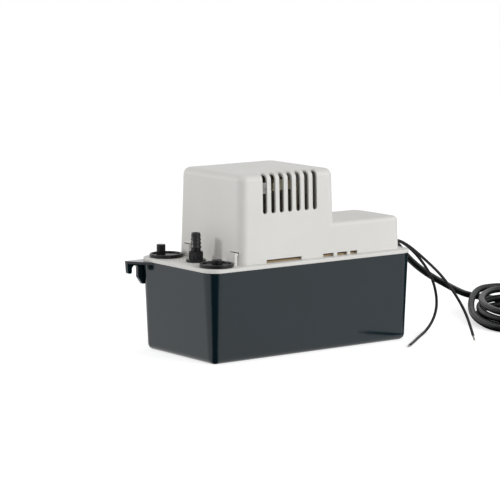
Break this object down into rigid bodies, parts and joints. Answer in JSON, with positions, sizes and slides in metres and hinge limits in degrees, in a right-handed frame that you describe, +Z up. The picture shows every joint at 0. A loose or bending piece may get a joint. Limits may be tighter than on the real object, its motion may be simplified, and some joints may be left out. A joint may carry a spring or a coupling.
{
  "type": "condensate pump",
  "caption": "Condensate pump: closed drip tank with a deck that carries a float switch, a hanging centrifugal pump and check valve, under a vented motor cover.",
  "frame": {"origin": "centre of the underside of the tank, on the surface it stands on", "axes": "+X along the tank towards the end the power cord leaves, -Y towards the vented long face, +Z up"},
  "size_m": [0.5203, 0.2441, 0.178],
  "materials": {
    "tank_black": "glossy moulded black",
    "white_plastic": "satin moulded white",
    "fibre_mat": "pressed fibre",
    "lamination_steel": "varnished laminations",
    "copper": "bare copper",
    "tinned_copper": "tinned strands",
    "bobbin_nylon": "natural nylon",
    "coil_tape": "varnished tape over wire",
    "zinc_steel": "zinc plated",
    "bearing_bronze": "sintered bronze",
    "bright_steel": "ground",
    "rotor_aluminium": "die cast cage",
    "black_plastic": "moulded black",
    "acetal_white": "natural acetal",
    "float_foam": "closed-cell foam",
    "soft_rubber": "moulded rubber",
    "clear_hose": "clear vinyl hose",
    "cord_jacket": "moulded vinyl",
    "plug_brass": "stamped brass"
  },
  "bodies": {
    "pump": {"bobbin": "bobbin_nylon", "coil": "coil_tape", "column_screws": "zinc_steel", "cord_tail": "cord_jacket", "cord_winding": "cord_jacket", "deck": "white_plastic", "deck_mat": "fibre_mat", "discharge_hose": "clear_hose", "float_pin": "bright_steel", "hose_clips": "zinc_steel", "lead_grommet": "soft_rubber", "lead_tips": "tinned_copper", "lever_pins": "bright_steel", "lower_bearing": "bearing_bronze", "lower_bracket": "zinc_steel", "motor_cover": "white_plastic", "motor_foot_screws": "zinc_steel", "plate_foot_screws": "zinc_steel", "plate_screws": "zinc_steel", "plug_pins": "plug_brass", "power_cord": "cord_jacket", "power_plug": "cord_jacket", "run_switch_case": "black_plastic", "safety_switch_case": "black_plastic", "shading_rings": "copper", "stack_screws": "zinc_steel", "stator_stack": "lamination_steel", "strain_relief": "soft_rubber", "switch_lead_1": "cord_jacket", "switch_lead_2": "cord_jacket", "switch_plate": "zinc_steel", "switch_screws": "zinc_steel", "switch_terminals": "plug_brass", "tank": "tank_black", "upper_bearing": "bearing_bronze", "upper_bracket": "zinc_steel", "valve_body": "black_plastic", "valve_nut": "black_plastic", "valve_seal": "soft_rubber", "valve_seat": "black_plastic", "valve_spring": "bright_steel", "volute_housing": "black_plastic", "volute_plate": "black_plastic"},
    "rotor": {"motor_shaft": "bright_steel", "rotor_core": "rotor_aluminium", "cooling_fan": "black_plastic", "shaft_slinger": "soft_rubber", "impeller": "black_plastic"},
    "float": {"float_block": "float_foam", "float_arm": "acetal_white"},
    "rod": {"push_rod": "acetal_white"},
    "run_lever": {"run_switch_lever": "bright_steel"},
    "safety_lever": {"safety_switch_lever": "bright_steel"},
    "run_plunger": {"run_switch_plunger": "acetal_white"},
    "safety_plunger": {"safety_switch_plunger": "acetal_white"},
    "poppet": {"valve_poppet": "acetal_white"},
    "rear_plug": {"inlet_plug_rear": "black_plastic"},
    "front_plug": {"inlet_plug_front": "black_plastic"}
  },
  "joints": [
    {"name": "rotor_spin", "type": "hinge", "parent": "pump", "child": "rotor", "pos_m": [-0.044, 0, 0.1], "axis": [0, 0, 1], "continuous": true},
    {"name": "float_swing", "type": "hinge", "parent": "pump", "child": "float", "pos_m": [0.108, -0.018, 0.076], "axis": [0, 1, 0], "range_deg": [0, 20]},
    {"name": "rod_lift", "type": "slide", "parent": "pump", "child": "rod", "axis": [0, 0, 1], "range_m": [0, 0.0047]},
    {"name": "run_lever_swing", "type": "hinge", "parent": "pump", "child": "run_lever", "pos_m": [0.07, -0.0241, 0.1024], "axis": [0, -1, 0], "range_deg": [0, 10.3]},
    {"name": "safety_lever_swing", "type": "hinge", "parent": "pump", "child": "safety_lever", "pos_m": [0.07, -0.0119, 0.1024], "axis": [0, -1, 0], "range_deg": [0, 10.3]},
    {"name": "run_plunger_press", "type": "slide", "parent": "pump", "child": "run_plunger", "axis": [0, 0, 1], "range_m": [0, 0.00145]},
    {"name": "safety_plunger_press", "type": "slide", "parent": "pump", "child": "safety_plunger", "axis": [0, 0, 1], "range_m": [0, 0.00145]},
    {"name": "valve_lift", "type": "slide", "parent": "pump", "child": "poppet", "axis": [0, 0, 1], "range_m": [0, 0.004], "stiffness_N_per_m": 15, "springref_m": -0.001, "deforming": ["valve_spring"]},
    {"name": "rear_plug_pull", "type": "slide", "parent": "pump", "child": "rear_plug", "axis": [0, 0, 1], "range_m": [0, 0.016]},
    {"name": "front_plug_pull", "type": "slide", "parent": "pump", "child": "front_plug", "axis": [0, 0, 1], "range_m": [0, 0.016]}
  ],
  "couplings": [
    {"joint": "rod_lift", "follows": "float_swing", "m_per_rad": 0.0133},
    {"joint": "run_lever_swing", "follows": "float_swing", "ratio": 0.5115},
    {"joint": "safety_lever_swing", "follows": "float_swing", "ratio": 0.5115},
    {"joint": "run_plunger_press", "follows": "float_swing", "m_per_rad": 0.00409},
    {"joint": "safety_plunger_press", "follows": "float_swing", "m_per_rad": 0.00409}
  ]
}
